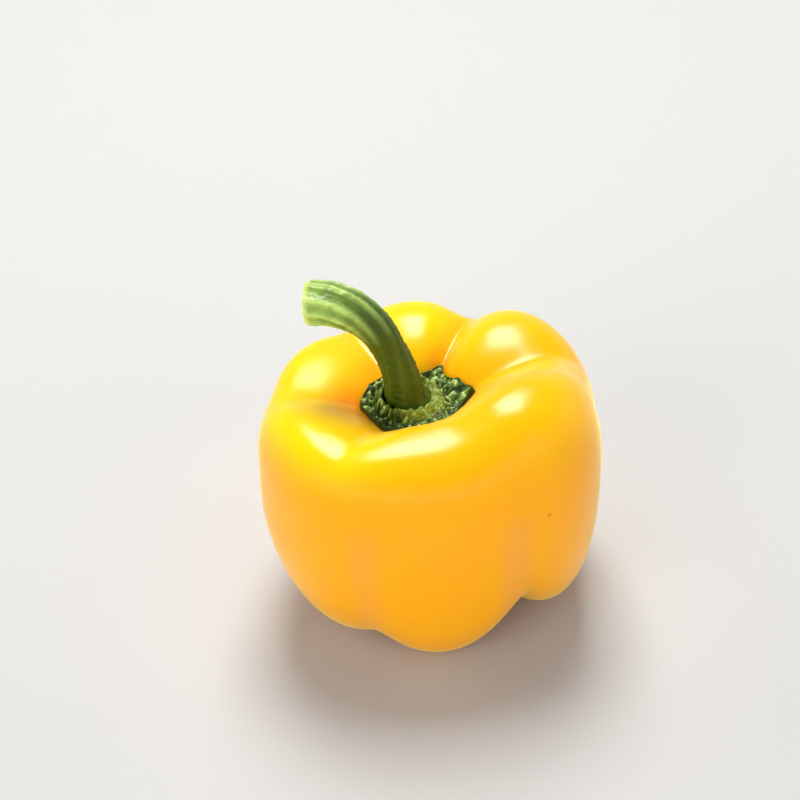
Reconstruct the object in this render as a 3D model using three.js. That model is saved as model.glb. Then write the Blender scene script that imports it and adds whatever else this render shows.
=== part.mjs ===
// A yellow bell pepper with its calyx and its stem, standing on four of its lobes.
// Millimetres, +Z up. The origin lies on the surface it stands on, under the middle of its box.
import * as THREE from "three";

// Colours and finish of the three pieces
const SKIN = new THREE.MeshStandardMaterial({ color: 0xf9b914, roughness: 0.2, metalness: 0 });
const CALYX_GREEN = new THREE.MeshStandardMaterial({ color: 0x4f7d33, roughness: 0.5, metalness: 0 });
const STEM_GREEN = new THREE.MeshStandardMaterial({ color: 0x47691c, roughness: 0.5, metalness: 0 });

// Lobes of the fruit, in order round it. Angles are in degrees, from +X towards +Y.
// reach is the radius of the widest place, crest the top of the shoulder, foot the lowest place.
const LOBES = [
  { at: -81, reach: 38.2, crestR: 20, crestZ: 66.5, footR: 26.8, footZ: -1 },
  { at: -31, reach: 44.1, crestR: 26.5, crestZ: 73.3, footR: 27.7, footZ: 1.3 },
  { at: 28, reach: 45.7, crestR: 31, crestZ: 68.2, footR: 23.5, footZ: 0.3 },
  { at: 92, reach: 41.7, crestR: 27, crestZ: 66, footR: 22, footZ: -0.7 },
  { at: 141, reach: 40.4, crestR: 28.5, crestZ: 63, footR: 20.8, footZ: 1.5 },
  { at: 228, reach: 43.3, crestR: 29, crestZ: 66.2, footR: 20.4, footZ: -1.3 },
];

// Grooves between the lobes: their angle at the shoulder, halfway down and underneath, how far
// they lower the shoulder, pull in the side and lift the underside, and their width in degrees.
const GROOVES = [
  { top: -124, side: -108, bottom: -115, drop: 2.3, inset: 0.9, lift: 5, width: 12.5 },
  { top: -54, side: -50, bottom: -48, drop: 0.6, inset: 2.6, lift: 12, width: 16 },
  { top: 20.5, side: 7, bottom: 12.5, drop: 5, inset: 4.1, lift: 1.2, width: 15.5 },
  { top: 68, side: 76, bottom: 74, drop: 5.8, inset: 3.7, lift: 7, width: 8 },
  { top: 122, side: 130, bottom: 124, drop: 4.5, inset: 3.2, lift: 2.5, width: 14 },
  { top: 188, side: 174, bottom: 182, drop: 3.3, inset: 1.5, lift: 10, width: 19 },
];
const LOBE_SHARPNESS = 8;
const GROOVE_ROUNDING = 4;
const GROOVE_FOOT_PULL = 0.35;

// Heights and middles of the fruit, and how square its curves are
const WIDEST_Z = 43.5;
const CAVITY_MIDDLE = [-3, -1];
const WAIST_MIDDLE = [0, 0];
const FOOT_MIDDLE = [1.6, 0.7];
const SHOULDER_POWER = 2.65;
const SIDE_POWER = 2.4;
const CAVITY_POWER = 1.7;
const CAVITY_FLOOR_Z = 53;
const CAVITY_FLOOR_R = 9.8;
const CAVITY_GROOVE_SPREAD = 0.2;
const UNDERSIDE_Z = 9;
const UNDERSIDE_ROLL = 1.2;
const SCAR_R = 2.2;
const SCAR_DEPTH = 0.8;
const SETTLE = 1.7;

// Calyx: a knobbly cup that fills the floor of the cavity and climbs its wall to pointed sepals.
// A rise below zero is a dip between two sepals.
const GAP = 0.3;
const CALYX_RIM_Z = 57.4;
const CALYX_EDGE = 0.9;
const SEPALS = [
  { at: 10, rise: 2.2, width: 9 },
  { at: 38, rise: 1.3, width: 12 },
  { at: 66, rise: 0.2, width: 10 },
  { at: 122, rise: -1.2, width: 14 },
  { at: 150, rise: 0.4, width: 9 },
  { at: 190, rise: -0.4, width: 10 },
  { at: 225, rise: 0.9, width: 14 },
  { at: 255, rise: 1.2, width: 11 },
  { at: 310, rise: 1.6, width: 12 },
];
const COLLAR_R = 6.8;
const COLLAR_Z = 60.4;
const COLLAR_HALF_WIDTH = 1.5;
const TROUGH_Z = 57.6;
const RIDGES = 15;
const RIDGE_AT = 11;
const KNOB_SPACING = 2.7;
const KNOB_TWIST = 2;
const KNOB_HEIGHT = 0.3;
const KNOBS_START = 0.2;
const KNOBS_FADE = 0.85;
const RIM_RISE_START = 0.4;
const EDGE_ROUNDING = 0.3;
const SEAT_R = 5.4;
const SEAT_Z = 59;
const SOCKET_SLOPE = 0.3;

// Stem: its middle line, its radius along it, and the crests that grow towards the cut end. Each
// crest is at an angle round the end, from the outside of the bend, and twists round the stem.
const STEM_FOOT = [-5.5, 0];
const STEM_SUNK = 0.5;
const STEM_LINE = [
  [...STEM_FOOT, SEAT_Z - STEM_SUNK],
  [-7, 0.2, 66],
  [-9.4, 0.5, 72.6],
  [-13, 0.8, 79.3],
  [-18.4, 1.4, 83.8],
  [-24, 2.1, 85.4],
  [-29.6, 2.8, 84.9],
];
const STEM_RADII = [4.7, 4.3, 4.05, 3.95, 4.3, 5.1, 5.2];
const STEM_CRESTS = [-262, -215, -165, -118, -78, -41, 10, 58];
const CREST_WIDTH = 11;
const CREST_TWIST = -2.6;
const CREST_AT_FOOT = 0.12;
const CREST_AT_END = 1;
const CRESTS_FROM = 0.3;
const CRESTS_SUNK = 0.4;
const CUT_EDGE = 1.8;
const CUT_RING = 0.7;
const CUT_DISH = 0.5;

// Steps of the surfaces
const FRUIT_SIDES = 84;
const FRUIT_STEPS = { floor: 2, wall: 9, shoulder: 9, side: 9, underside: 9 };
const CALYX_SIDES = RIDGES * 5;
const CALYX_STEPS = { top: 10, wall: 4, floor: 2 };
const STEM_SIDES = 72;
const STEM_STEPS = { edge: 4, length: 26 };

const radians = (degrees) => (degrees * Math.PI) / 180;
const mix = (a, b, t) => a + (b - a) * t;

function smooth(x, from, to) {
  const t = Math.min(Math.max((x - from) / (to - from), 0), 1);
  return t * t * (3 - 2 * t);
}

const eased = (share) => smooth(share, 0, 1);

// Distance in degrees between two angles, from 0 to 180
function turnBetween(a, b) {
  const turn = Math.abs(a - b) % 360;
  return turn > 180 ? 360 - turn : turn;
}

// One measure of the lobes at an angle, flowing from each lobe into the next
function flowing(angle, measure) {
  let total = 0;
  let weights = 0;
  for (const lobe of LOBES) {
    const weight = Math.exp(LOBE_SHARPNESS * (Math.cos(radians(angle - lobe.at)) - 1));
    total += weight * lobe[measure];
    weights += weight;
  }
  return total / weights;
}

// How deep in a groove an angle lies: 1 at its middle, with a round bottom and soft banks
function grooved(angle, at, width) {
  const away = Math.hypot(turnBetween(angle, at), GROOVE_ROUNDING) - GROOVE_ROUNDING;
  return Math.exp(-away / width);
}

function grooves(angle, place, depth) {
  let sum = 0;
  for (const groove of GROOVES) sum += groove[depth] * grooved(angle, groove[place], groove.width);
  return sum;
}

// A quarter of a superellipse, from [0, 1] at share 0 to [1, 0] at share 1
function quarter(share, power) {
  const across = Math.sin((share * Math.PI) / 2);
  const along = Math.cos((share * Math.PI) / 2);
  const size = (Math.abs(across) ** power + Math.abs(along) ** power) ** (-1 / power);
  return [across * size, along * size];
}

// The measures of the fruit's outline at one angle
function outline(angle) {
  const drop = grooves(angle, "top", "drop");
  const lift = grooves(angle, "bottom", "lift");
  return {
    crestR: flowing(angle, "crestR"),
    crestZ: flowing(angle, "crestZ") - drop,
    reach: flowing(angle, "reach") - grooves(angle, "side", "inset"),
    footR: flowing(angle, "footR") - GROOVE_FOOT_PULL * lift,
    footZ: flowing(angle, "footZ") + lift,
    floorR: CAVITY_FLOOR_R + CAVITY_GROOVE_SPREAD * drop,
  };
}

// Radius and height on the cavity's floor, from its middle at share 0 to the wall at share 1
const cavityFloor = (shape, share) => [shape.floorR * share, CAVITY_FLOOR_Z];

// Radius and height on the cavity's wall, from its foot at share 0 to the crest at share 1
function cavityWall(shape, share) {
  const [across, along] = quarter(1 - share, CAVITY_POWER);
  const radius = shape.crestR - (shape.crestR - shape.floorR) * across;
  return [radius, CAVITY_FLOOR_Z + (shape.crestZ - CAVITY_FLOOR_Z) * along];
}

function shoulder(shape, share) {
  const [across, along] = quarter(share, SHOULDER_POWER);
  const radius = shape.crestR + (shape.reach - shape.crestR) * across;
  return [radius, WIDEST_Z + (shape.crestZ - WIDEST_Z) * along];
}

function lowerSide(shape, share) {
  const [across, along] = quarter(1 - share, SIDE_POWER);
  const radius = shape.footR + (shape.reach - shape.footR) * across;
  return [radius, WIDEST_Z - (WIDEST_Z - shape.footZ) * along];
}

// From the foot at share 0 to the blossom scar in the middle of the underside at share 1
function underside(shape, share) {
  const outwards = 1 - share;
  const fall = Math.sin((Math.PI / 2) * outwards ** UNDERSIDE_ROLL) ** 2;
  const radius = shape.footR * outwards;
  const scar = SCAR_DEPTH * Math.exp(-((radius / SCAR_R) ** 2));
  return [radius, UNDERSIDE_Z + scar + (shape.footZ - UNDERSIDE_Z) * fall];
}

// A point at an angle and radius round a middle, at a height
function around(middle, angle, radius, z) {
  const x = middle[0] + radius * Math.cos(radians(angle));
  return new THREE.Vector3(x, middle[1] + radius * Math.sin(radians(angle)), z);
}

const between = (a, b, t) => [mix(a[0], b[0], t), mix(a[1], b[1], t)];

// One closed body from rings of points between two end points. The rings run anticlockwise
// as seen from outside the first end point.
function ringBody(name, first, rings, last, material) {
  const sides = rings[0].length;
  const points = [first, ...rings.flat(), last];
  const faces = [];
  const at = (ring, side) => 1 + ring * sides + (side % sides);
  for (let side = 0; side < sides; side++) {
    faces.push(0, at(0, side), at(0, side + 1));
    for (let ring = 0; ring + 1 < rings.length; ring++) {
      faces.push(at(ring, side), at(ring + 1, side), at(ring + 1, side + 1));
      faces.push(at(ring, side), at(ring + 1, side + 1), at(ring, side + 1));
    }
    faces.push(points.length - 1, at(rings.length - 1, side + 1), at(rings.length - 1, side));
  }
  const geometry = new THREE.BufferGeometry().setFromPoints(points);
  geometry.setIndex(faces);
  geometry.computeVertexNormals();
  const mesh = new THREE.Mesh(geometry, material);
  mesh.name = name;
  return mesh;
}

function ringOf(sides, pointAt) {
  return Array.from({ length: sides }, (_, side) => pointAt((360 * side) / sides));
}

// Fruit: from the middle of the cavity's floor, up its wall, over the shoulder, down the side
// and in under the lobes. It settles by SETTLE, so that the lowest lobes stand on flat spots.
function makeFruit() {
  const settled = (z) => Math.max(z - SETTLE, 0);
  const rings = [];
  const addRings = (steps, profile, middleAt) => {
    for (let step = 1; step <= steps; step++) {
      const share = step / steps;
      rings.push(ringOf(FRUIT_SIDES, (angle) => {
        const [radius, z] = profile(outline(angle), share);
        return around(middleAt(share), angle, radius, settled(z));
      }));
    }
  };
  const inCavity = () => CAVITY_MIDDLE;
  const toWaist = (share) => between(CAVITY_MIDDLE, WAIST_MIDDLE, eased(share));
  const toFoot = (share) => between(WAIST_MIDDLE, FOOT_MIDDLE, eased(share));
  addRings(FRUIT_STEPS.floor, cavityFloor, inCavity);
  addRings(FRUIT_STEPS.wall, cavityWall, inCavity);
  addRings(FRUIT_STEPS.shoulder, shoulder, toWaist);
  addRings(FRUIT_STEPS.side, lowerSide, toFoot);
  addRings(FRUIT_STEPS.underside, underside, () => FOOT_MIDDLE);
  rings.pop();
  const top = around(CAVITY_MIDDLE, 0, 0, settled(CAVITY_FLOOR_Z));
  const scar = around(FOOT_MIDDLE, 0, 0, settled(UNDERSIDE_Z + SCAR_DEPTH));
  return ringBody("fruit", top, rings, scar, SKIN);
}

// Radius of the cavity's wall at a height
function wallRadius(shape, z) {
  const along = (z - CAVITY_FLOOR_Z) / (shape.crestZ - CAVITY_FLOOR_Z);
  const across = (1 - along ** CAVITY_POWER) ** (1 / CAVITY_POWER);
  return shape.crestR - (shape.crestR - shape.floorR) * across;
}

// How high the calyx climbs the cavity's wall at an angle: highest at the tip of each sepal
function calyxRim(angle) {
  let z = CALYX_RIM_Z;
  for (const sepal of SEPALS) z += sepal.rise * Math.exp(-turnBetween(angle, sepal.at) / sepal.width);
  return z;
}

// Height of the calyx's upper side: the collar round the stem, a trough, and radial ridges
// broken into knobs, from the socket's edge at share 0 to the rim at share 1
function calyxTop(angle, radius, share) {
  const rim = calyxRim(angle) + CALYX_EDGE;
  const collar = (COLLAR_Z - TROUGH_Z) * Math.exp(-(((radius - COLLAR_R) / COLLAR_HALF_WIDTH) ** 2));
  const ridge = Math.cos(radians(RIDGES * (angle - RIDGE_AT)));
  const knob = Math.cos((2 * Math.PI * radius) / KNOB_SPACING + radians(KNOB_TWIST * angle));
  const shown = smooth(share, 0, KNOBS_START) * (1 - smooth(share, KNOBS_FADE, 1));
  const relief = KNOB_HEIGHT * (ridge + knob) * shown;
  return mix(TROUGH_Z, rim, smooth(share, RIM_RISE_START, 1)) + collar + relief;
}

// Calyx: from its socket for the stem, over the collar and the knobs to the rim, down along the
// cavity's wall and in over its floor
function makeCalyx() {
  const rings = [];
  const addRing = (pointAt) => rings.push(ringOf(CALYX_SIDES, pointAt));
  const place = (middle, angle, radius, z) => around(middle, angle, radius, z - SETTLE);
  for (const radius of [SEAT_R / 2, SEAT_R]) {
    addRing((angle) => place(STEM_FOOT, angle, radius, SEAT_Z));
  }
  for (let step = 0; step <= CALYX_STEPS.top; step++) {
    const share = step / CALYX_STEPS.top;
    addRing((angle) => {
      const edge = wallRadius(outline(angle), calyxRim(angle)) - GAP - EDGE_ROUNDING;
      const radius = mix(SEAT_R + SOCKET_SLOPE, edge, share);
      const middle = between(STEM_FOOT, CAVITY_MIDDLE, share);
      return place(middle, angle, radius, calyxTop(angle, radius, share));
    });
  }
  for (let step = 0; step <= CALYX_STEPS.wall; step++) {
    const share = step / CALYX_STEPS.wall;
    addRing((angle) => {
      const z = mix(calyxRim(angle), CAVITY_FLOOR_Z + GAP, share);
      return place(CAVITY_MIDDLE, angle, wallRadius(outline(angle), z) - GAP, z);
    });
  }
  for (let step = 1; step < CALYX_STEPS.floor; step++) {
    const share = 1 - step / CALYX_STEPS.floor;
    addRing((angle) => {
      const radius = (outline(angle).floorR - GAP) * share;
      return place(CAVITY_MIDDLE, angle, radius, CAVITY_FLOOR_Z + GAP);
    });
  }
  const socket = place(STEM_FOOT, 0, 0, SEAT_Z);
  const below = place(CAVITY_MIDDLE, 0, 0, CAVITY_FLOOR_Z + GAP);
  return ringBody("calyx", socket, rings, below, CALYX_GREEN);
}

// A value along a list, flowing smoothly from each entry to the next
function valueAlong(list, share) {
  const curve = new THREE.SplineCurve(list.map((value, index) => new THREE.Vector2(index, value)));
  return curve.getPoint(share).y;
}

// How far the stem's crests stand out at an angle: 1 on a crest, 0 between
function stemCrests(angle) {
  let sum = 0;
  for (const at of STEM_CRESTS) sum += grooved(angle, at, CREST_WIDTH);
  return Math.min(sum, 1);
}

// Stem: from its dished cut end, over the round edge of the cut, along its middle line with its
// crests fading, down to its foot, which is level and stands in the calyx's socket
function makeStem() {
  const places = STEM_LINE.map(([x, y, z]) => new THREE.Vector3(x, y, z - SETTLE));
  const line = new THREE.CatmullRomCurve3(places);
  const length = line.getLength();
  const levelled = (point) => point.setZ(Math.max(point.z, SEAT_Z + GAP - SETTLE));
  const section = (share, size, set) => {
    const tangent = line.getTangentAt(share);
    const outside = new THREE.Vector3(0, 1, 0).cross(tangent).normalize();
    const back = tangent.clone().cross(outside);
    const middle = line.getPointAt(share).addScaledVector(tangent, set);
    const fromEnd = (1 - share) * length;
    const edge = Math.max(CUT_EDGE - fromEnd, 0);
    const radius = valueAlong(STEM_RADII, share) - CUT_EDGE + Math.sqrt(CUT_EDGE ** 2 - edge ** 2);
    const height = mix(CREST_AT_FOOT, CREST_AT_END, smooth(share, CRESTS_FROM, 1));
    return ringOf(STEM_SIDES, (angle) => {
      const crest = height * (stemCrests(angle - CREST_TWIST * fromEnd) - CRESTS_SUNK);
      const out = size * (radius + crest);
      const point = middle.clone().addScaledVector(outside, out * Math.cos(radians(angle)));
      return levelled(point.addScaledVector(back, out * Math.sin(radians(angle))));
    });
  };
  const rings = [section(1, CUT_RING, -CUT_DISH)];
  const edgeShare = CUT_EDGE / length;
  for (let step = 0; step < STEM_STEPS.edge; step++) {
    const turn = radians((90 * step) / STEM_STEPS.edge);
    rings.push(section(1 - edgeShare * (1 - Math.cos(turn)), 1, 0));
  }
  for (let step = STEM_STEPS.length; step >= 0; step--) {
    rings.push(section(((1 - edgeShare) * step) / STEM_STEPS.length, 1, 0));
  }
  rings.push(section(0, CUT_RING, 0));
  const end = line.getPointAt(1).addScaledVector(line.getTangentAt(1), -CUT_DISH);
  return ringBody("stem", end, rings, levelled(line.getPointAt(0)), STEM_GREEN);
}

const pepper = new THREE.Group();
pepper.add(makeFruit(), makeCalyx(), makeStem());

// The origin goes under the middle of the whole pepper's box
const box = new THREE.Box3().setFromObject(pepper);
pepper.position.set(-(box.min.x + box.max.x) / 2, -(box.min.y + box.max.y) / 2, -box.min.z);

export default pepper;
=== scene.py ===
# A yellow bell pepper with its calyx and its stem, in a plain studio. The fine surfaces follow
# the same formulas and driving dimensions as the solids that they replace. Lengths are in
# millimetres and angles in degrees, from +X towards +Y, where nothing else is said.
import bpy
import math

import numpy as np
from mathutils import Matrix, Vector, noise


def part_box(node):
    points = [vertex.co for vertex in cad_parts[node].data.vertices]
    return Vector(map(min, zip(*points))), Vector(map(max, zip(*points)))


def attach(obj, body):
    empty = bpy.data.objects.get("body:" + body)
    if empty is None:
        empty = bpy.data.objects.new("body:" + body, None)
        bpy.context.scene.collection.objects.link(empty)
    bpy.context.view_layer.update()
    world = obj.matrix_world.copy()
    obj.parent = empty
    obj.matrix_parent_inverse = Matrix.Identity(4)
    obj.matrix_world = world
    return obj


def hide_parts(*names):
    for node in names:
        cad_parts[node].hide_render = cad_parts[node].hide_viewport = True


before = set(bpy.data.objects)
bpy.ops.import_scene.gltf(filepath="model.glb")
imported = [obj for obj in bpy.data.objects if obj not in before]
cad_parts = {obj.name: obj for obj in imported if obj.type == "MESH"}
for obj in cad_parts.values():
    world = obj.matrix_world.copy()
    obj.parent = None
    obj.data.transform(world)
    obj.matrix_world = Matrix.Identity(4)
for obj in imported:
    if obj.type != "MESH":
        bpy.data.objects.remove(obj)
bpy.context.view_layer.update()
MM = 0.001

# Camera: the photograph's viewing angle. The picture's middle lies a little above and to the
# left of the pepper's own middle, which is at LOOK_AT and shows at LOOK_AT_PIXEL.
ELEVATION = 40
DISTANCE = 700
LOOK_AT = (0, 0, 34)
LOOK_AT_PIXEL = (431, 468.6)
PIXELS = 800
PIXELS_PER_MM = 4.06
SENSOR = 36

# The fine fruit fills the box of its solid, by this much less
JUST_INSIDE = 0.9999

# Studio, in metres: how bright the world is low down and high up, and how high, as the sine of
# the angle above the horizon, it fades between them. Then the place that the lights face, and
# each light's direction and distance from there, its size and its radiance. The shine shows in
# reflections only, and the others never do.
WORLD_AT_HORIZON = 0.75
WORLD_ABOVE = 0.22
WORLD_FADE = (0.1, 0.5)
LIT_MIDDLE = (0, 0, 0.04)
TOP_BOX = dict(direction=(-0.045, 0.51, 1), distance=0.95, size=(0.42, 0.545))
FILL_DISTANCE = 1.5
RIM = dict(distance=1.2, size=(0.5, 0.9))
LIGHTS = {
    "top_box": dict(**TOP_BOX, radiance=14.5),
    "top_box_shine": dict(**TOP_BOX, radiance=27, shine=True),
    "front_left_fill": dict(
        direction=(-0.62, -0.75, 0.42), distance=FILL_DISTANCE, size=(1.0, 1.0), radiance=3.2
    ),
    "front_right_fill": dict(
        direction=(0.7, -0.6, 0.35), distance=FILL_DISTANCE, size=(0.8, 0.8), radiance=1.9
    ),
    "left_rim": dict(direction=(-1, 0.25, 0.1), **RIM, radiance=4.5),
    "right_rim": dict(direction=(1, 0.35, 0.1), **RIM, radiance=2.6),
    "low_fill": dict(direction=(0.1, -1, 0.14), distance=FILL_DISTANCE, size=(1.4, 0.4), radiance=3.0),
}
FLOOR_HALF_WIDTH = 3
FLOOR_COLOUR = (186, 186, 184)

# Lobes of the fruit, in order round it: the angle, the radius of the widest place, the top of the
# shoulder and the lowest place
LOBES = [
    dict(at=-81, reach=38.2, crest_r=20, crest_z=66.5, foot_r=26.8, foot_z=-1),
    dict(at=-31, reach=44.1, crest_r=26.5, crest_z=73.3, foot_r=27.7, foot_z=1.3),
    dict(at=28, reach=45.7, crest_r=31, crest_z=68.2, foot_r=23.5, foot_z=0.3),
    dict(at=92, reach=41.7, crest_r=27, crest_z=66, foot_r=22, foot_z=-0.7),
    dict(at=141, reach=40.4, crest_r=28.5, crest_z=63, foot_r=20.8, foot_z=1.5),
    dict(at=228, reach=43.3, crest_r=29, crest_z=66.2, foot_r=20.4, foot_z=-1.3),
]

# Grooves between the lobes: their angle at the shoulder, halfway down and underneath, how far
# they lower the shoulder, pull in the side and lift the underside, and their width in degrees
GROOVES = [
    dict(top=-124, side=-108, bottom=-115, drop=2.3, inset=0.9, lift=5, width=12.5),
    dict(top=-54, side=-50, bottom=-48, drop=0.6, inset=2.6, lift=12, width=16),
    dict(top=20.5, side=7, bottom=12.5, drop=5, inset=4.1, lift=1.2, width=15.5),
    dict(top=68, side=76, bottom=74, drop=5.8, inset=3.7, lift=7, width=8),
    dict(top=122, side=130, bottom=124, drop=4.5, inset=3.2, lift=2.5, width=14),
    dict(top=188, side=174, bottom=182, drop=3.3, inset=1.5, lift=10, width=19),
]
LOBE_SHARPNESS = 8
GROOVE_ROUNDING = 4
GROOVE_FOOT_PULL = 0.35

# Heights and middles of the fruit, and how square its curves are
WIDEST_Z = 43.5
CAVITY_MIDDLE = (-3, -1)
WAIST_MIDDLE = (0, 0)
FOOT_MIDDLE = (1.6, 0.7)
SHOULDER_POWER = 2.65
SIDE_POWER = 2.4
CAVITY_POWER = 1.7
CAVITY_FLOOR_Z = 53
CAVITY_FLOOR_R = 9.8
CAVITY_GROOVE_SPREAD = 0.2
UNDERSIDE_Z = 9
UNDERSIDE_ROLL = 1.2
SCAR_R = 2.2
SCAR_DEPTH = 0.8
SETTLE = 1.7

# Yellower skin on top, partly the skin's own colour and partly painted light, paler and yellower where
# the light falls most: the heights that it fades in between, most of all on the lit side at SUNNY_AT,
# with SHADY of it on the far side. One side goes over into the other between the cosines in SUNNY_TURN.
SUNNY_AT = 150
SUNNY_HEIGHTS = (50, 66)
SUNNY_TURN = (-0.6, 0.5)
SHADY = 0.25

# Painted shade: patches of deeper orange on the cavity's wall at its grooves. Painted reflections: pale
# bands down the front beside the two front grooves, outside the cavity. Each patch and band has its
# angle, its width in degrees and its weight. Their depths are shares of the way into the cavity; a band
# fades in over its foot heights and out over its top heights.
WALL_SHADES = [(188, 34, 1.0), (70, 12, 0.45), (128, 16, 0.4)]
WALL_SHADE_DEPTH = (0.05, 0.6)
GROOVE_REFLECTIONS = [(-112, 6, 0.8), (-57, 6, 1.0)]
GROOVE_REFLECTION_DEPTH = (0, 0.01)
GROOVE_REFLECTION_FOOT = (6, 16)
GROOVE_REFLECTION_TOP = (40, 52)

# One dark speck on the front: how far along X and how high it is, the radii that it fades out
# between, and the places along Y that keep it off the back
SPECK_AT = (28.1, 45)
SPECK_EDGE = (0.2, 0.6)
SPECK_FRONT = (-20, -10)
SPECK_STRENGTH = 0.5

# Calyx: a knobbly cup that fills the floor of the cavity and climbs its wall to pointed sepals.
# A rise below zero is a dip between two sepals.
GAP = 0.3
CALYX_RIM_Z = 57.4
CALYX_EDGE = 0.9
SEPALS = [
    dict(at=10, rise=2.2, width=9),
    dict(at=38, rise=1.3, width=12),
    dict(at=66, rise=0.2, width=10),
    dict(at=122, rise=-1.2, width=14),
    dict(at=150, rise=0.4, width=9),
    dict(at=190, rise=-0.4, width=10),
    dict(at=225, rise=0.9, width=14),
    dict(at=255, rise=1.2, width=11),
    dict(at=310, rise=1.6, width=12),
]
COLLAR_R = 6.8
COLLAR_Z = 60.4
COLLAR_HALF_WIDTH = 1.5
TROUGH_Z = 57.6
RIDGES = 15
RIDGE_AT = 11
KNOB_SPACING = 2.7
KNOB_TWIST = 2
KNOB_HEIGHT = 0.3
KNOBS_START = 0.12
KNOBS_FADE = 0.93
RIM_RISE_START = 0.4
EDGE_ROUNDING = 0.3
SEAT_R = 5.4
SEAT_Z = 59
SOCKET_SLOPE = 0.3

# Pebbles and grit on the calyx, in a warped pattern. A pebble's height is PEBBLE_USUAL of
# PEBBLE_HEIGHT, and by a value of its own up to PEBBLE_OWN of it more or less.
WARP_SIZE = 1.6
WARP = 0.6
PEBBLE_SIZE = 1.3
PEBBLE_HEIGHT = 0.5
PEBBLE_USUAL = 0.8
PEBBLE_OWN = 0.5
GRIT_SIZE = 0.6
GRIT_HEIGHT = 0.16
LUMP_MIDDLE = 0.5
CREASE_SHARPNESS = 1.8
OWN_SPREAD = 5.3

# How pale the calyx is, from 0 to 1: on its plain faces, and by the pebbles, grit and ridges on its upper
# side. Most of this is painted light: the tops of the pebbles, grit and ridges are painted pale as a
# painted highlight, and the creases between them and the plain top near the rim are painted dark as
# painted shade. Only the value that each pebble has of its own is the calyx's own tone. The collar is
# pale towards COLLAR_PALE_AT, and COLLAR_FAR_SIDE as much on the far side.
PALE_SEAT = 0.4
PALE_WALL = 0.3
PALE_FLOOR = 0.2
PALE_TOP = 0.1
PALE_BY_PEBBLE = 0.5
PALE_BY_OWN = 0.35
PALE_BY_GRIT = 0.2
PALE_BY_RIDGE = 0.06
COLLAR_PALE_AT = -20
COLLAR_TURN = (-0.2, 0.8)
COLLAR_FAR_SIDE = 0.35

# Stem: its middle line, its radius along it, and the crests that grow towards the cut end. Each
# crest is at an angle round the end, from the outside of the bend, and twists round the stem.
# The foot is wider by FOOT_SPREAD, which dies away over FOOT_HEIGHT.
STEM_FOOT = (-5.5, 0)
STEM_SUNK = 0.5
STEM_LINE = [
    (*STEM_FOOT, SEAT_Z - STEM_SUNK),
    (-7, 0.2, 66),
    (-9.4, 0.5, 72.6),
    (-13, 0.8, 79.3),
    (-18.4, 1.4, 83.8),
    (-24, 2.1, 85.4),
    (-29.6, 2.8, 84.9),
]
STEM_RADII = [4.7, 4.3, 4.05, 3.95, 4.3, 5.1, 5.2]
STEM_CRESTS = [-262, -215, -165, -118, -78, -41, 10, 58]
CREST_WIDTH = 11
CREST_TWIST = -2.6
CREST_AT_FOOT = 0.12
CREST_AT_END = 1.0
CRESTS_FROM = 0.3
CRESTS_SUNK = 0.4
FOOT_SPREAD = 1.15
FOOT_HEIGHT = 1.6
FOOT_RING = 0.7

# The cut end: its round edge, its dish, and the rings of the dish as shares of the radius
CUT_EDGE = 1.8
CUT_DISH = 0.5
CUT_FLATNESS = 4
CUT_RINGS = (0.15, 0.3, 0.45, 0.6, 0.75, 0.88)

# Streaks along the stem, so many degrees wide and so long, and fine roughness all over it
STREAK_WIDTH = 9
STREAK_LENGTH = 14
STREAK_HEIGHT = 0.12
ROUGH_SIZE = 1.1
ROUGH_HEIGHT = 0.1

# What sets one noise apart from the next, and what brings them to about -1 to 1
SEEDS = dict(warp=2.2, pebble=3.7, grit=9.1, streak=4.4, rough=6.2)
NOISE_GAIN = 2

# Colours as they look on screen, from 0 to 255
SKIN_COLOURS = dict(
    shady=(250, 169, 2),
    # Partly the skin's own colour and partly painted light, on the top and the lit side
    sunny=(250, 214, 3),
    # Painted shade inside the cavity
    hollow_shade=(250, 182, 2),
    # Painted shade on the cavity's wall at its grooves
    wall_shade=(238, 138, 2),
    mottle=(248, 166, 3),
    # Painted reflection in pale bands beside the front grooves
    groove_reflection=(240, 160, 62),
    speck=(120, 58, 4),
    sheen=(255, 240, 120),
)
CALYX_COLOURS = dict(
    # The first colour is painted shade in the creases, and the third a painted highlight on the tops of
    # the pebbles
    crease_shade=(30, 44, 2),
    green=(86, 114, 22),
    pale=(196, 226, 126),
    collar=(156, 176, 62),
    dull=(48, 70, 10),
)
STEM_COLOURS = dict(
    foot_valley=(56, 74, 4),
    foot_crest=(84, 106, 16),
    valley=(54, 84, 14),
    end_valley=(138, 170, 72),
    crest=(178, 206, 104),
    dull=(60, 80, 12),
    cut_rim=(226, 232, 132),
    outer_wood=(168, 160, 92),
    inner_wood=(206, 208, 150),
)

# Steps of the fine surfaces
FRUIT_SIDES = 360
FRUIT_STEPS = dict(floor=6, wall=40, shoulder=44, side=44, underside=44)
CALYX_SIDES = 360
CALYX_STEPS = dict(seat=4, top=90, wall=12, floor=6)
STEM_SIDES = 252
STEM_STEPS = 260
SPLINE_STEPS = 200
SMALLEST_GAP = 1e-6


def smooth(x, low=0.0, high=1.0):
    """From 0 where x is low to 1 where it is high, eased at both ends."""
    t = np.clip((x - low) / (high - low), 0, 1)
    return t * t * (3 - 2 * t)


def mix(a, b, t):
    return a + (b - a) * t


def angles_of(sides):
    return np.arange(sides) * 360 / sides


def turn_between(a, b):
    """Degrees between two angles, from 0 to 180."""
    return np.abs((a - b + 180) % 360 - 180)


def facing(angle, at):
    """1 on the side at that angle, and -1 on the far side."""
    return np.cos(np.radians(angle - at))


def flowing(angle, measure):
    """One measure of the lobes at an angle, flowing from each lobe into the next."""
    total = 0
    weights = 0
    for lobe in LOBES:
        weight = np.exp(LOBE_SHARPNESS * (facing(angle, lobe["at"]) - 1))
        total = total + weight * lobe[measure]
        weights = weights + weight
    return total / weights


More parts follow.
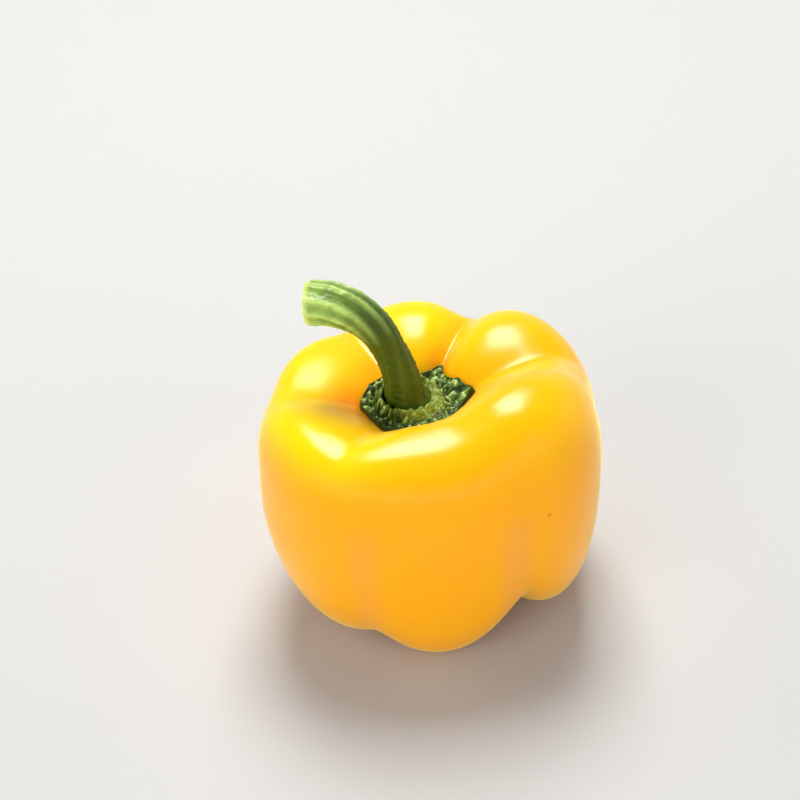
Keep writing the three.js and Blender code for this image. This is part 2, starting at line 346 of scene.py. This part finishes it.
def grooved(angle, at, width):
    """1 in the middle of a groove, fading out over its banks."""
    away = np.hypot(turn_between(angle, at), GROOVE_ROUNDING) - GROOVE_ROUNDING
    return np.exp(-away / width)


def grooves(angle, place, depth):
    """One depth of all the grooves together, at an angle at one of their places."""
    return sum(g[depth] * grooved(angle, g[place], g["width"]) for g in GROOVES)


def quarter(share, power):
    """A quarter of a superellipse, from (0, 1) at share 0 to (1, 0) at share 1."""
    across = np.sin(share * math.pi / 2)
    along = np.cos(share * math.pi / 2)
    size = (np.abs(across) ** power + np.abs(along) ** power) ** (-1 / power)
    return across * size, along * size


class Outline:
    """The measures of the fruit's outline at each angle. Each stretch of it gives radius and
    height by the share of the way along it, from the cavity's middle to the scar underneath."""

    def __init__(self, angle):
        drop = grooves(angle, "top", "drop")
        lift = grooves(angle, "bottom", "lift")
        self.crest_r = flowing(angle, "crest_r")
        self.crest_z = flowing(angle, "crest_z") - drop
        self.reach = flowing(angle, "reach") - grooves(angle, "side", "inset")
        self.foot_r = flowing(angle, "foot_r") - GROOVE_FOOT_PULL * lift
        self.foot_z = flowing(angle, "foot_z") + lift
        self.floor_r = CAVITY_FLOOR_R + CAVITY_GROOVE_SPREAD * drop

    def floor(self, share):
        return self.floor_r * share, CAVITY_FLOOR_Z

    def wall(self, share):
        across, along = quarter(1 - share, CAVITY_POWER)
        radius = self.crest_r - (self.crest_r - self.floor_r) * across
        return radius, CAVITY_FLOOR_Z + (self.crest_z - CAVITY_FLOOR_Z) * along

    def wall_radius(self, z):
        """Radius of the cavity's wall at a height."""
        along = (z - CAVITY_FLOOR_Z) / (self.crest_z - CAVITY_FLOOR_Z)
        across = (1 - along**CAVITY_POWER) ** (1 / CAVITY_POWER)
        return self.crest_r - (self.crest_r - self.floor_r) * across

    def shoulder(self, share):
        across, along = quarter(share, SHOULDER_POWER)
        radius = self.crest_r + (self.reach - self.crest_r) * across
        return radius, WIDEST_Z + (self.crest_z - WIDEST_Z) * along

    def side(self, share):
        across, along = quarter(1 - share, SIDE_POWER)
        radius = self.foot_r + (self.reach - self.foot_r) * across
        return radius, WIDEST_Z - (WIDEST_Z - self.foot_z) * along

    def underside(self, share):
        outwards = 1 - share
        fall = np.sin(math.pi / 2 * outwards**UNDERSIDE_ROLL) ** 2
        radius = self.foot_r * outwards
        scar = SCAR_DEPTH * np.exp(-((radius / SCAR_R) ** 2))
        return radius, UNDERSIDE_Z + scar + (self.foot_z - UNDERSIDE_Z) * fall


def around(middle, angle, radius, z):
    """Points at each angle and radius round a middle, at a height."""
    x = middle[0] + radius * np.cos(np.radians(angle))
    y = middle[1] + radius * np.sin(np.radians(angle))
    return np.stack([x, y, z + 0 * x], axis=-1)


def between(a, b, t):
    return mix(a[0], b[0], t), mix(a[1], b[1], t)


def ring_mesh(name, first, rings, last, paint):
    """A closed mesh from rings of points between two end points, in millimetres, with one
    painted value a vertex for each name in paint: end, rings and end as the points have them."""
    rings = np.asarray(rings)
    count, sides, _ = rings.shape
    points = np.concatenate([[first], rings.reshape(-1, 3), [last]]) * MM
    mesh = bpy.data.meshes.new(name)
    side = np.arange(sides)
    after = (side + 1) % sides
    faces = [(0, 1 + a, 1 + b) for a, b in zip(side, after)]
    for ring in range(count - 1):
        upper = 1 + ring * sides
        lower = upper + sides
        faces += [(upper + a, lower + a, lower + b, upper + b) for a, b in zip(side, after)]
    low = 1 + (count - 1) * sides
    end = len(points) - 1
    faces += [(end, low + b, low + a) for a, b in zip(side, after)]
    mesh.from_pydata(points.tolist(), [], [tuple(int(i) for i in f) for f in faces])
    for key, (first_value, ring_values, last_value) in paint.items():
        flat = np.concatenate([[first_value], np.asarray(ring_values).ravel(), [last_value]])
        layer = mesh.attributes.new(key, "FLOAT", "POINT")
        layer.data.foreach_set("value", flat.astype(np.float32))
    mesh.shade_smooth()
    mesh.update()
    piece = bpy.data.objects.new(name, mesh)
    bpy.context.scene.collection.objects.link(piece)
    return piece


def field(points, size, seed):
    """Smooth noise from about -1 to 1 at each point, with lumps of that size in millimetres."""
    flat = np.asarray(points).reshape(-1, 3) / size + seed
    values = [noise.noise(Vector(p)) for p in flat.tolist()]
    return np.array(values).reshape(np.asarray(points).shape[:-1]) * NOISE_GAIN


def pebbles(points, size, seed):
    """Lumps of that size in millimetres: how high each point lies on its lump, from 0 in the
    creases to 1, and a value of that lump's own from about -1 to 1."""
    flat = np.asarray(points).reshape(-1, 3) / size + seed
    high = []
    own = []
    for place in flat.tolist():
        near, centres = noise.voronoi(Vector(place))
        high.append(min((near[1] - near[0]) * CREASE_SHARPNESS, 1))
        own.append(noise.noise(centres[0] * OWN_SPREAD) * NOISE_GAIN)
    return np.array(high), np.array(own)


# Fruit
def patches(angle, list_of_patches):
    """Soft patches round the fruit, each as strong as its weight in its middle."""
    total = 0
    for at, width, weight in list_of_patches:
        total = total + weight * np.exp(-((turn_between(angle, at) / width) ** 2))
    return total


def fruit_paint(angle, depth, height):
    """The values that colour the skin, by how deep in the cavity and how high each point is: painted
    shade in the cavity and on its wall at the grooves, pale bands of painted reflection beside the front
    grooves, and a yellower top that is partly the skin's own colour and partly painted light.
    """
    # Painted shade: deeper orange on the cavity's wall at the grooves
    wall_shade = smooth(depth, *WALL_SHADE_DEPTH) * patches(angle, WALL_SHADES)
    # Painted reflection: pale bands down the front beside the two front grooves
    groove_reflection = smooth(height, *GROOVE_REFLECTION_FOOT) * (1 - smooth(height, *GROOVE_REFLECTION_TOP)) * (1 - smooth(depth, *GROOVE_REFLECTION_DEPTH))
    groove_reflection = groove_reflection * patches(angle, GROOVE_REFLECTIONS)
    # Partly the skin's own colour and partly painted light: yellower up high, most of all on the lit side
    sunny = smooth(facing(angle, SUNNY_AT), *SUNNY_TURN)
    sunny = smooth(height, *SUNNY_HEIGHTS) * mix(SHADY, 1, sunny)
    return dict(hollow_shade=(1, depth, 0), wall_shade=(0, wall_shade, 0), groove_reflection=(0, groove_reflection, 0), sunny=(1, sunny, 0))


def make_fruit():
    angle = angles_of(FRUIT_SIDES)
    shape = Outline(angle)
    rings = []
    depth = []

    def add(steps, profile, middle_at, depth_at):
        for step in range(1, steps + 1):
            share = step / steps
            radius, z = profile(share)
            rings.append(around(middle_at(share), angle, radius, np.maximum(z - SETTLE, 0)))
            depth.append(np.full(FRUIT_SIDES, depth_at(share)))

    def upper(share):
        return between(CAVITY_MIDDLE, WAIST_MIDDLE, smooth(share))

    def lower(share):
        return between(WAIST_MIDDLE, FOOT_MIDDLE, smooth(share))

    add(FRUIT_STEPS["floor"], shape.floor, lambda share: CAVITY_MIDDLE, lambda share: 1)
    add(FRUIT_STEPS["wall"], shape.wall, lambda share: CAVITY_MIDDLE, lambda share: 1 - share)
    add(FRUIT_STEPS["shoulder"], shape.shoulder, upper, lambda share: 0)
    add(FRUIT_STEPS["side"], shape.side, lower, lambda share: 0)
    add(FRUIT_STEPS["underside"], shape.underside, lambda share: FOOT_MIDDLE, lambda share: 0)
    rings.pop()
    depth.pop()
    rings = np.array(rings)
    top = (*CAVITY_MIDDLE, CAVITY_FLOOR_Z - SETTLE)
    scar = (*FOOT_MIDDLE, UNDERSIDE_Z + SCAR_DEPTH - SETTLE)
    paint = fruit_paint(angle, np.array(depth), rings[..., 2])
    return ring_mesh("pepper_fruit", top, rings, scar, paint)


# Calyx
def calyx_rim(angle):
    """How high the calyx climbs the cavity's wall at an angle: highest at each sepal's tip."""
    return CALYX_RIM_Z + sum(
        s["rise"] * np.exp(-turn_between(angle, s["at"]) / s["width"]) for s in SEPALS
    )


def calyx_top(angle, rim, middle, radius, share):
    """Height, paleness and collar of one ring of the calyx's upper side: the collar round the
    stem, a trough, and ridges broken into knobs and pebbles, which all fade before the rim."""
    collar = np.exp(-(((radius - COLLAR_R) / COLLAR_HALF_WIDTH) ** 2))
    shown = smooth(share, 0, KNOBS_START) * (1 - smooth(share, KNOBS_FADE, 1))
    ridge = np.cos(np.radians(RIDGES * (angle - RIDGE_AT)))
    ripple = np.cos(2 * math.pi * radius / KNOB_SPACING + np.radians(KNOB_TWIST * angle))
    place = around(middle, angle, radius, 0)
    place = place + WARP * field(place, WARP_SIZE, SEEDS["warp"])[:, None]
    pebble, own = pebbles(place, PEBBLE_SIZE, SEEDS["pebble"])
    grit, _ = pebbles(place, GRIT_SIZE, SEEDS["grit"])
    relief = KNOB_HEIGHT * (ridge + ripple) * shown
    of_its_own = PEBBLE_USUAL + PEBBLE_OWN * own
    relief = relief + ((pebble - LUMP_MIDDLE) * of_its_own * PEBBLE_HEIGHT) * shown
    relief = relief + (grit - LUMP_MIDDLE) * GRIT_HEIGHT * shown
    z = mix(TROUGH_Z, rim + CALYX_EDGE, smooth(share, RIM_RISE_START, 1))
    z = z + (COLLAR_Z - TROUGH_Z) * collar + relief
    # Painted highlight on the tops of pebbles, grit and ridges, and painted shade in the creases between
    # them; each pebble's own value is its own tone
    light = PALE_BY_PEBBLE * pebble + PALE_BY_OWN * own + PALE_BY_GRIT * grit + PALE_BY_RIDGE * ridge
    near_side = smooth(facing(angle, COLLAR_PALE_AT), *COLLAR_TURN)
    return z, PALE_TOP + shown * light, collar * mix(COLLAR_FAR_SIDE, 1, near_side)


def make_calyx():
    angle = angles_of(CALYX_SIDES)
    shape = Outline(angle)
    rim = calyx_rim(angle)
    rings = []
    pale = []
    collars = []

    def add(middle, radius, z, light, collar=0):
        rings.append(around(middle, angle, radius, z - SETTLE))
        pale.append(light + 0 * angle)
        collars.append(collar + 0 * angle)

    for step in range(1, CALYX_STEPS["seat"] + 1):
        add(STEM_FOOT, SEAT_R * step / CALYX_STEPS["seat"], SEAT_Z, PALE_SEAT)
    edge = shape.wall_radius(rim) - GAP - EDGE_ROUNDING
    for step in range(CALYX_STEPS["top"] + 1):
        share = step / CALYX_STEPS["top"]
        radius = mix(SEAT_R + SOCKET_SLOPE, edge, share)
        middle = between(STEM_FOOT, CAVITY_MIDDLE, share)
        add(middle, radius, *calyx_top(angle, rim, middle, radius, share))
    for step in range(CALYX_STEPS["wall"] + 1):
        z = mix(rim, CAVITY_FLOOR_Z + GAP, step / CALYX_STEPS["wall"])
        add(CAVITY_MIDDLE, shape.wall_radius(z) - GAP, z, PALE_WALL)
    for step in range(1, CALYX_STEPS["floor"]):
        share = 1 - step / CALYX_STEPS["floor"]
        add(CAVITY_MIDDLE, (shape.floor_r - GAP) * share, CAVITY_FLOOR_Z + GAP, PALE_FLOOR)
    socket = (*STEM_FOOT, SEAT_Z - SETTLE)
    below = (*CAVITY_MIDDLE, CAVITY_FLOOR_Z + GAP - SETTLE)
    paint = dict(pale=(PALE_SEAT, pale, PALE_FLOOR), collar=(0, collars, 0))
    return ring_mesh("pepper_calyx", socket, rings, below, paint)


# Stem
def spline(points, count):
    """Points evenly spaced along a centripetal Catmull-Rom curve through the given points."""
    points = np.array(points, float)
    if points.ndim == 1:
        points = points[:, None]
    ends = np.concatenate([[2 * points[0] - points[1]], points, [2 * points[-1] - points[-2]]])
    dense = []
    for i in range(len(points) - 1):
        p0, p1, p2, p3 = ends[i : i + 4]
        pairs = ((p0, p1), (p1, p2), (p2, p3))
        gaps = [max(np.linalg.norm(b - a) ** 0.5, SMALLEST_GAP) for a, b in pairs]
        leave = (p1 - p0) / gaps[0] - (p2 - p0) / (gaps[0] + gaps[1]) + (p2 - p1) / gaps[1]
        arrive = (p2 - p1) / gaps[1] - (p3 - p1) / (gaps[1] + gaps[2]) + (p3 - p2) / gaps[2]
        leave = leave * gaps[1]
        arrive = arrive * gaps[1]
        t = np.linspace(0, 1, SPLINE_STEPS, endpoint=i == len(points) - 2)[:, None]
        stretch = (2 * t**3 - 3 * t**2 + 1) * p1 + (t**3 - 2 * t**2 + t) * leave
        dense.append(stretch + (-2 * t**3 + 3 * t**2) * p2 + (t**3 - t**2) * arrive)
    dense = np.concatenate(dense)
    steps = np.linalg.norm(np.diff(dense, axis=0), axis=1)
    length = np.concatenate([[0], np.cumsum(steps)])
    even = np.linspace(0, length[-1], count)
    return np.stack([np.interp(even, length, dense[:, k]) for k in range(dense.shape[1])], axis=-1)


def stem_radius(radius, share, length, crests):
    """Radius of the stem round one ring: its crests, the cut's round edge and the spread foot."""
    height = mix(CREST_AT_FOOT, CREST_AT_END, smooth(share, CRESTS_FROM, 1))
    rounded = max(CUT_EDGE - (1 - share) * length, 0)
    pulled_in = CUT_EDGE - math.sqrt(CUT_EDGE**2 - rounded**2)
    spread_foot = FOOT_SPREAD * math.exp(-share * length / FOOT_HEIGHT)
    return radius + height * (crests - CRESTS_SUNK) - pulled_in + spread_foot


def stem_roughness(place, turned, from_end):
    """How far the stem stands out by its streaks and its fine roughness."""
    along = np.stack([turned / STREAK_WIDTH, 0 * turned, 0 * turned + from_end / STREAK_LENGTH], -1)
    streak = field(along, 1, SEEDS["streak"])
    return ROUGH_HEIGHT * field(place, ROUGH_SIZE, SEEDS["rough"]) + STREAK_HEIGHT * streak


def make_stem():
    line = spline(STEM_LINE, STEM_STEPS + 1) - np.array([0, 0, SETTLE])
    length = np.linalg.norm(np.diff(line, axis=0), axis=1).sum()
    tangents = np.gradient(line, axis=0)
    tangents /= np.linalg.norm(tangents, axis=1, keepdims=True)
    outside = np.cross((0, 1, 0), tangents)
    outside /= np.linalg.norm(outside, axis=1, keepdims=True)
    back = np.cross(tangents, outside)
    shares = np.linspace(0, 1, STEM_STEPS + 1)
    radii = spline(STEM_RADII, STEM_STEPS + 1)[:, 0]
    angle = angles_of(STEM_SIDES)
    floor = SEAT_Z + GAP - SETTLE
    rings = []
    paint = dict(crest=[], far=[], cut=[])

    def add(step, size=1, set_back=0, cut=0):
        share = shares[step]
        from_end = (1 - share) * length
        turned = angle - CREST_TWIST * from_end
        crests = np.minimum(sum(grooved(turned, at, CREST_WIDTH) for at in STEM_CRESTS), 1)
        radius = size * stem_radius(radii[step], share, length, crests)
        spread = np.cos(np.radians(angle))[:, None] * outside[step]
        spread = spread + np.sin(np.radians(angle))[:, None] * back[step]
        middle = line[step] + tangents[step] * set_back
        rough = stem_roughness(middle + radius[:, None] * spread, turned, from_end)
        place = middle + (radius + size * rough)[:, None] * spread
        place[:, 2] = np.maximum(place[:, 2], floor)
        rings.append(place)
        paint["crest"].append(crests)
        paint["far"].append(share + 0 * angle)
        paint["cut"].append(cut + 0 * angle)

    for size in CUT_RINGS:
        add(STEM_STEPS, size, set_back=-CUT_DISH * (1 - size**CUT_FLATNESS), cut=1 - size)
    for step in range(STEM_STEPS, -1, -1):
        add(step)
    add(0, FOOT_RING)
    end = line[-1] - tangents[-1] * CUT_DISH
    foot = (line[0][0], line[0][1], floor)
    painted = {key: (1, values, 0) for key, values in paint.items()}
    return ring_mesh("pepper_stem", end, rings, foot, painted)


# Materials
def linear(colour):
    """A colour given as it looks on screen, from 0 to 255, as light, by the sRGB curve."""
    parts = []
    for value in colour:
        value /= 255
        parts.append(value / 12.92 if value <= 0.04045 else ((value + 0.055) / 1.055) ** 2.4)
    return (*parts, 1)


def is_socket(value):
    return isinstance(value, bpy.types.NodeSocket)


class Nodes:
    """Builds one material's node tree."""

    def __init__(self, name):
        self.material = bpy.data.materials.new(name)
        self.material.use_nodes = True
        self.tree = self.material.node_tree
        self.shader = self.tree.nodes["Principled BSDF"]

    def make(self, kind, inputs=None, **settings):
        node = self.tree.nodes.new("ShaderNode" + kind)
        for key, value in settings.items():
            setattr(node, key, value)
        for key, value in (inputs or {}).items():
            if is_socket(value):
                self.tree.links.new(value, node.inputs[key])
            else:
                node.inputs[key].default_value = value
        return node

    def link(self, socket, name):
        self.tree.links.new(socket, self.shader.inputs[name])

    def set(self, values):
        for name, value in values.items():
            self.shader.inputs[name].default_value = value

    def attribute(self, name):
        return self.make("Attribute", attribute_name=name).outputs["Fac"]

    def place(self):
        return self.make("TexCoord").outputs["Object"]

    def noise(self, scale, detail):
        inputs = {"Vector": self.place(), "Scale": scale, "Detail": detail}
        return self.make("TexNoise", inputs).outputs["Fac"]

    def remap(self, value, low, high, to_low=0.0, to_high=1.0):
        keys = ("Value", "From Min", "From Max", "To Min", "To Max")
        inputs = dict(zip(keys, (value, low, high, to_low, to_high)))
        return self.make("MapRange", inputs).outputs["Result"]

    def blend(self, share, under, over):
        """The colour over laid on the colour under. The node has a socket for each type of
        value, and those of a colour are the seventh and the eighth, and the third result."""
        under, over = (c if is_socket(c) else linear(c) for c in (under, over))
        return self.make("Mix", {0: share, 6: under, 7: over}, data_type="RGBA").outputs[2]

    def layer(self, under, over, value, start, full, most=1.0):
        """The colour over laid on the colour under, from none of it where value is start to
        most of it where value is full."""
        return self.blend(self.remap(value, start, full, 0, most), under, over)

    def bump(self, height, strength, distance):
        inputs = {"Height": height, "Strength": strength, "Distance": distance}
        self.link(self.make("Bump", inputs).outputs["Normal"], "Normal")


def speck_share(n):
    """How much of the speck shows: a small round spot as seen along Y, on the front only."""
    part = n.make("SeparateXYZ", {"Vector": n.place()}).outputs
    flat = n.make("CombineXYZ", {"X": part["X"], "Z": part["Z"]}).outputs["Vector"]
    inputs = {0: flat, 1: (SPECK_AT[0] * MM, 0, SPECK_AT[1] * MM)}
    away = n.make("VectorMath", inputs, operation="DISTANCE").outputs["Value"]
    on_front = n.remap(part["Y"], SPECK_FRONT[0] * MM, SPECK_FRONT[1] * MM, SPECK_STRENGTH, 0)
    return n.remap(away, SPECK_EDGE[0] * MM, SPECK_EDGE[1] * MM, on_front, 0)


def skin_material():
    n = Nodes("pepper_skin")
    hues = SKIN_COLOURS
    # Partly the skin's own colour and partly painted light: yellower on top and on the lit side
    colour = n.blend(n.attribute("sunny"), hues["shady"], hues["sunny"])
    # Painted shade: deeper orange inside the cavity
    colour = n.layer(colour, hues["hollow_shade"], n.attribute("hollow_shade"), start=0.3, full=0.9, most=0.6)
    # Painted shade: deeper orange patches on the cavity's wall at its grooves
    colour = n.layer(colour, hues["wall_shade"], n.attribute("wall_shade"), start=0.1, full=0.8, most=0.9)
    mottle = n.noise(scale=45, detail=4)
    colour = n.layer(colour, hues["mottle"], mottle, start=0.4, full=0.75, most=0.35)
    # Painted reflection: pale bands beside the two front grooves
    colour = n.layer(colour, hues["groove_reflection"], n.attribute("groove_reflection"), start=0.1, full=0.9, most=0.5)
    colour = n.blend(speck_share(n), colour, hues["speck"])
    n.link(colour, "Base Color")
    n.set({"Roughness": 0.22, "IOR": 1.33})
    n.set({"Sheen Weight": 0.8, "Sheen Roughness": 0.25, "Sheen Tint": linear(hues["sheen"])})
    n.set({"Subsurface Weight": 0.15, "Subsurface Radius": (1.0, 0.45, 0.08), "Subsurface Scale": 0.003})
    n.bump(n.noise(scale=600, detail=2), strength=0.04, distance=0.0002)
    return n.material


def calyx_material():
    n = Nodes("pepper_calyx")
    hues = CALYX_COLOURS
    pale = n.attribute("pale")
    # From dark painted shade in the creases, over green, to pale painted highlight on the tops of the
    # pebbles, grit and ridges
    colour = n.layer(hues["crease_shade"], hues["green"], pale, start=0.1, full=0.42)
    colour = n.layer(colour, hues["pale"], pale, start=0.42, full=0.8)
    colour = n.layer(colour, hues["collar"], n.attribute("collar"), start=0.2, full=0.8, most=0.6)
    dull = n.noise(scale=700, detail=3)
    colour = n.layer(colour, hues["dull"], dull, start=0.5, full=0.8, most=0.6)
    n.link(colour, "Base Color")
    n.set({"Roughness": 0.3, "IOR": 1.37})
    n.bump(n.noise(scale=1600, detail=3), strength=0.3, distance=0.0003)
    return n.material


def stem_material():
    n = Nodes("pepper_stem")
    hues = STEM_COLOURS
    far = n.attribute("far")
    crest = n.attribute("crest")
    cut = n.attribute("cut")
    lower = n.layer(hues["foot_valley"], hues["foot_crest"], crest, start=0.2, full=1.0, most=0.5)
    valley = n.layer(hues["valley"], hues["end_valley"], far, start=0.62, full=0.98)
    upper = n.layer(valley, hues["crest"], crest, start=0.35, full=0.95)
    colour = n.layer(lower, upper, far, start=0.48, full=0.78)
    dull = n.noise(scale=350, detail=4)
    colour = n.layer(colour, hues["dull"], dull, start=0.45, full=0.8, most=0.6)
    colour = n.layer(colour, hues["cut_rim"], far, start=0.95, full=1.0)
    wood = n.layer(hues["outer_wood"], hues["inner_wood"], cut, start=0.25, full=0.5)
    colour = n.layer(colour, wood, cut, start=0.05, full=0.2)
    n.link(colour, "Base Color")
    n.set({"Roughness": 0.45, "IOR": 1.38})
    n.bump(n.noise(scale=1500, detail=4), strength=0.35, distance=0.0003)
    return n.material


# Floor, light and camera
def make_floor():
    half = FLOOR_HALF_WIDTH
    mesh = bpy.data.meshes.new("floor")
    corners = [(-half, -half, 0), (half, -half, 0), (half, half, 0), (-half, half, 0)]
    mesh.from_pydata(corners, [], [(0, 1, 2, 3)])
    floor = bpy.data.objects.new("floor", mesh)
    bpy.context.scene.collection.objects.link(floor)
    n = Nodes("floor_paper")
    n.set({"Base Color": linear(FLOOR_COLOUR), "Roughness": 0.7})
    mesh.materials.append(n.material)


def add_light(name, direction, distance, size, radiance, shine=False):
    """A soft rectangular light that faces the pepper, by its brightness as seen from there. A
    shine shows in reflections only, and any other light never does."""
    data = bpy.data.lights.new(name, "AREA")
    data.shape = "RECTANGLE"
    data.size, data.size_y = size
    data.energy = radiance * math.pi * size[0] * size[1]
    light = bpy.data.objects.new(name, data)
    towards = Vector(direction).normalized()
    light.location = Vector(LIT_MIDDLE) + towards * distance
    light.rotation_euler = towards.to_track_quat("Z", "Y").to_euler()
    light.visible_diffuse = not shine
    light.visible_glossy = shine
    bpy.context.scene.collection.objects.link(light)


def make_world():
    world = bpy.data.worlds.new("studio")
    world.use_nodes = True
    tree = world.node_tree
    background = tree.nodes["Background"]
    place = tree.nodes.new("ShaderNodeTexCoord")
    split = tree.nodes.new("ShaderNodeSeparateXYZ")
    fade = tree.nodes.new("ShaderNodeMapRange")
    tree.links.new(place.outputs["Generated"], split.inputs["Vector"])
    tree.links.new(split.outputs["Z"], fade.inputs["Value"])
    fade.inputs["From Min"].default_value = WORLD_FADE[0]
    fade.inputs["From Max"].default_value = WORLD_FADE[1]
    fade.inputs["To Min"].default_value = WORLD_AT_HORIZON
    fade.inputs["To Max"].default_value = WORLD_ABOVE
    tree.links.new(fade.outputs["Result"], background.inputs["Strength"])
    background.inputs["Color"].default_value = (1, 1, 1, 1)
    bpy.context.scene.world = world
    bpy.context.scene.view_settings.view_transform = "Standard"


def make_camera():
    data = bpy.data.cameras.new("camera")
    data.sensor_width = SENSOR
    data.lens = PIXELS_PER_MM * DISTANCE * SENSOR / PIXELS
    camera = bpy.data.objects.new("camera", data)
    tilt = math.radians(ELEVATION)
    look = Vector(LOOK_AT)
    up = Vector((0, math.sin(tilt), math.cos(tilt)))
    camera_at = look + DISTANCE * Vector((0, -math.cos(tilt), math.sin(tilt)))
    aside = (LOOK_AT_PIXEL[0] - PIXELS / 2) / PIXELS_PER_MM
    below = (LOOK_AT_PIXEL[1] - PIXELS / 2) / PIXELS_PER_MM
    aim = look - Vector((aside, 0, 0)) + up * below
    camera.location = camera_at * MM
    camera.rotation_euler = (aim - camera_at).to_track_quat("-Z", "Y").to_euler()
    bpy.context.scene.collection.objects.link(camera)
    bpy.context.scene.camera = camera


def fit_to_solid(fruit):
    """The move that brings the fine fruit's middle over its solid's, and the scale that then
    makes it fill the solid's box."""
    low, high = (Vector(corner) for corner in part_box("fruit"))
    points = np.array([v.co for v in fruit.data.vertices])
    middle = (points.min(axis=0) + points.max(axis=0)) / 2
    shift = Vector(((low.x + high.x) / 2 - middle[0], (low.y + high.y) / 2 - middle[1], 0))
    fine = points.max(axis=0) - points.min(axis=0)
    scale = Vector([solid / own * JUST_INSIDE for solid, own in zip(high - low, fine)])
    return shift, scale


def main():
    make_camera()
    fruit = make_fruit()
    shift, scale = fit_to_solid(fruit)
    for piece, node, slot, material in (
        (fruit, "fruit", "skin", skin_material()),
        (make_calyx(), "calyx", "calyx", calyx_material()),
        (make_stem(), "stem", "stem", stem_material()),
    ):
        for vertex in piece.data.vertices:
            vertex.co = (vertex.co + shift) * scale
        piece.data.materials.append(material)
        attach(piece, "root")
        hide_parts(node)
    make_floor()
    for name, light in LIGHTS.items():
        add_light(name, **light)
    make_world()


main()
